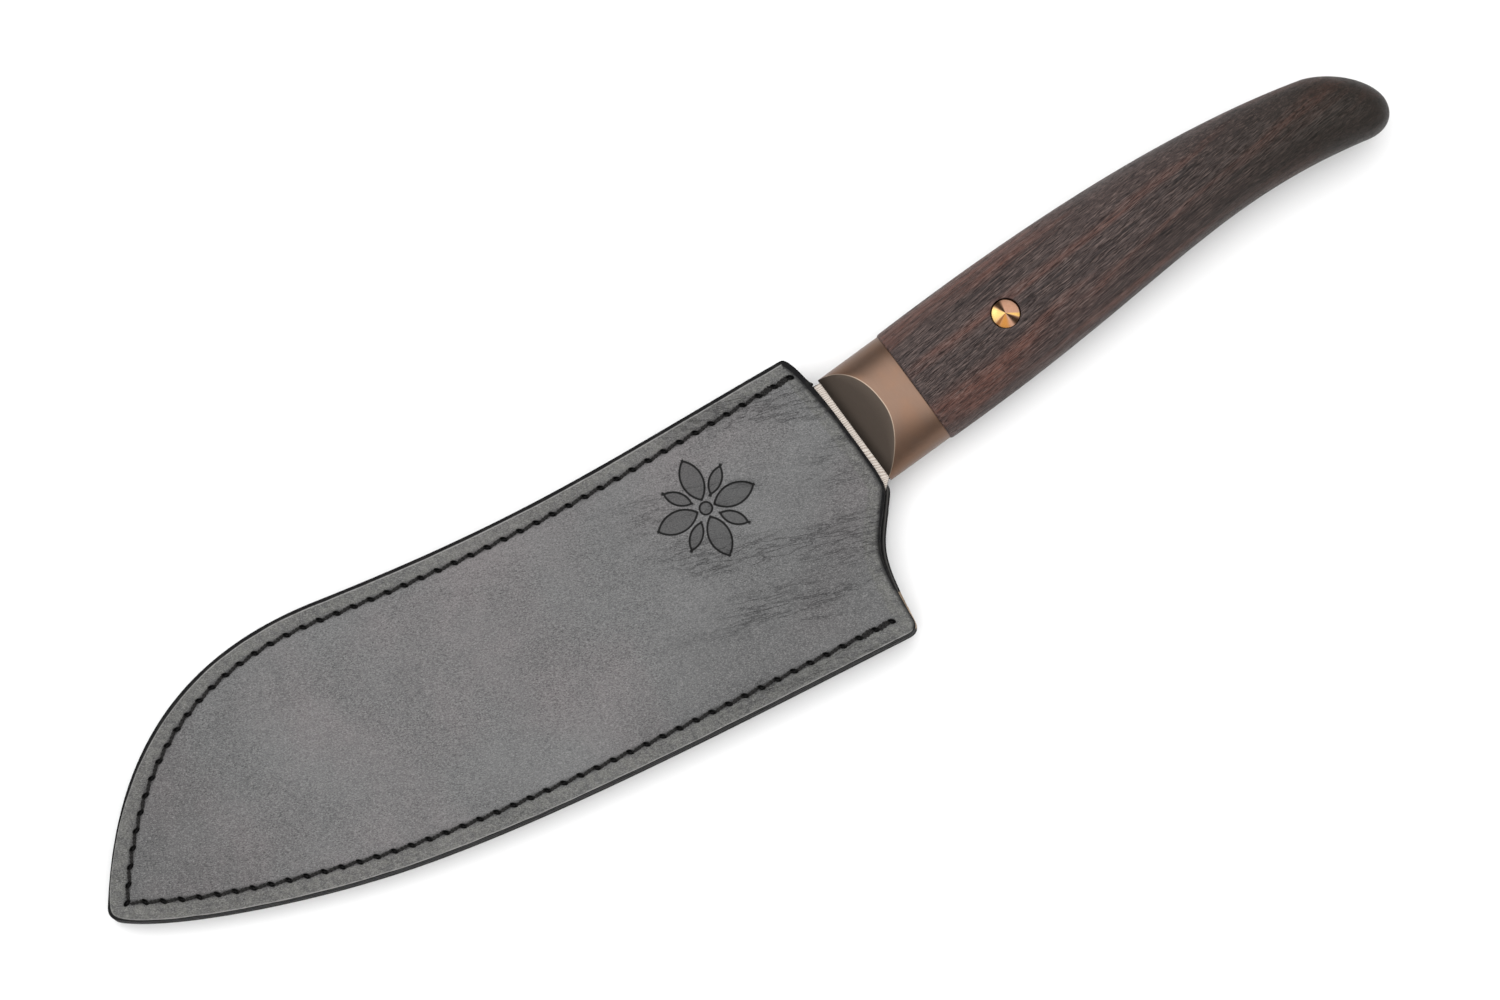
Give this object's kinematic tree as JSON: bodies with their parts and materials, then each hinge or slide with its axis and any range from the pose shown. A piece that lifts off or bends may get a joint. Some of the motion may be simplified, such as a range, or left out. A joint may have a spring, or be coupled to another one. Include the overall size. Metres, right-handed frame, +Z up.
{
  "type": "sheathed santoku knife",
  "caption": "Santoku kitchen knife with an oval metal bolster and a curved wooden handle, in a saddle-stitched leather blade sheath that it draws out of.",
  "frame": {"origin": "centre of the outline seen from above, on the table that the knife lies on", "axes": "+Z up from the table; +X towards the butt of the handle, close to the draw direction; +Y towards the spine of the blade"},
  "size_m": [0.3187, 0.0694, 0.0227],
  "materials": {
    "sheath_leather": "black dyed vegetable-tanned leather with a grey sheen",
    "welt_leather": "natural vegetable-tanned leather",
    "waxed_thread": "black waxed thread",
    "pattern_steel": "pattern-welded steel, satin",
    "bronze_bolster": "dark bronze, satin",
    "dark_wood": "oiled dark hardwood with open pores",
    "copper_pin": "polished copper alloy",
    "epoxy": "cured bedding epoxy"
  },
  "bodies": {
    "sheath": {"front_panel": "sheath_leather", "back_panel": "sheath_leather", "spine_welt": "welt_leather", "edge_welt": "welt_leather", "saddle_stitching": "waxed_thread"},
    "knife": {"blade": "pattern_steel", "bolster": "bronze_bolster", "handle": "dark_wood", "handle_pin": "copper_pin", "tang_epoxy": "epoxy"}
  },
  "joints": [
    {"name": "draw", "type": "slide", "parent": "sheath", "child": "knife", "axis": [0.9997, -0.0005, 0.0246], "range_m": [0, 0.19]}
  ]
}
